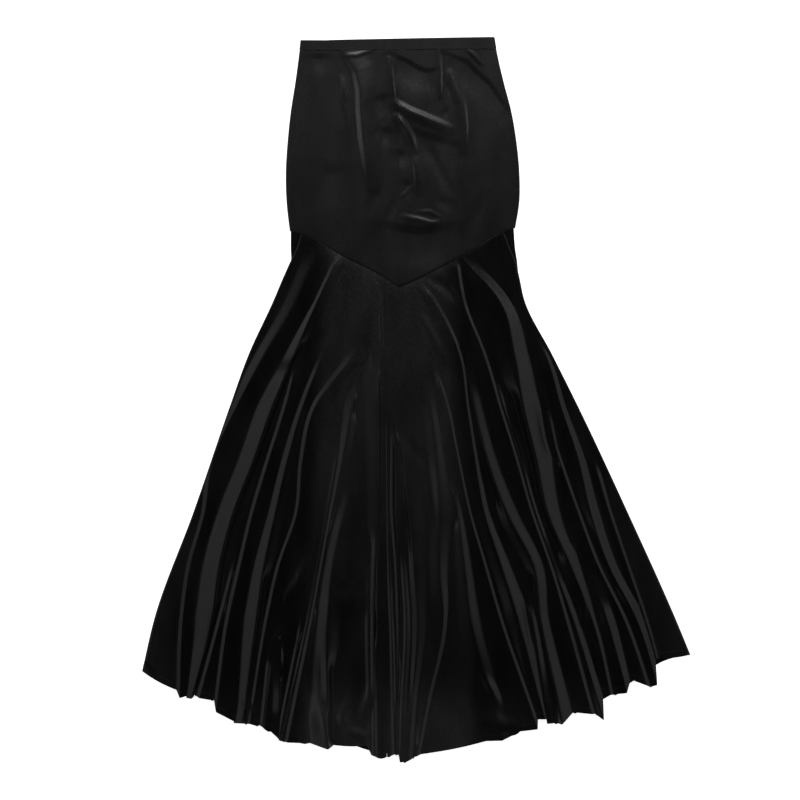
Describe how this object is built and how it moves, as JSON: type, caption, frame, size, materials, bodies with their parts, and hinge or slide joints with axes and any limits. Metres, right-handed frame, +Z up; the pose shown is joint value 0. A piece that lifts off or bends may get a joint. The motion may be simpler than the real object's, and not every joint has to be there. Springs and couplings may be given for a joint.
{
  "type": "mermaid fishtail skirt",
  "caption": "Full-length black velvet fishtail skirt laid flat: waistband, fitted yoke to a V seam at the hip, flared flounce in soft pleats.",
  "frame": {"origin": "on the surface it lies on, under the middle of the laid skirt", "axes": "+Z up off the surface through the front, +Y towards the waist, +X towards the wearer's left"},
  "size_m": [0.832, 1.1005, 0.0189],
  "materials": {
    "velvet": "matt",
    "yoke_velvet": "satin"
  },
  "bodies": {
    "root": {"waistband_front": "yoke_velvet", "waistband_back": "yoke_velvet", "yoke_front_right": "yoke_velvet", "yoke_front_left": "yoke_velvet", "yoke_back": "yoke_velvet", "flounce_front_right": "velvet", "flounce_front_left": "velvet", "flounce_back": "velvet"}
  },
  "joints": []
}
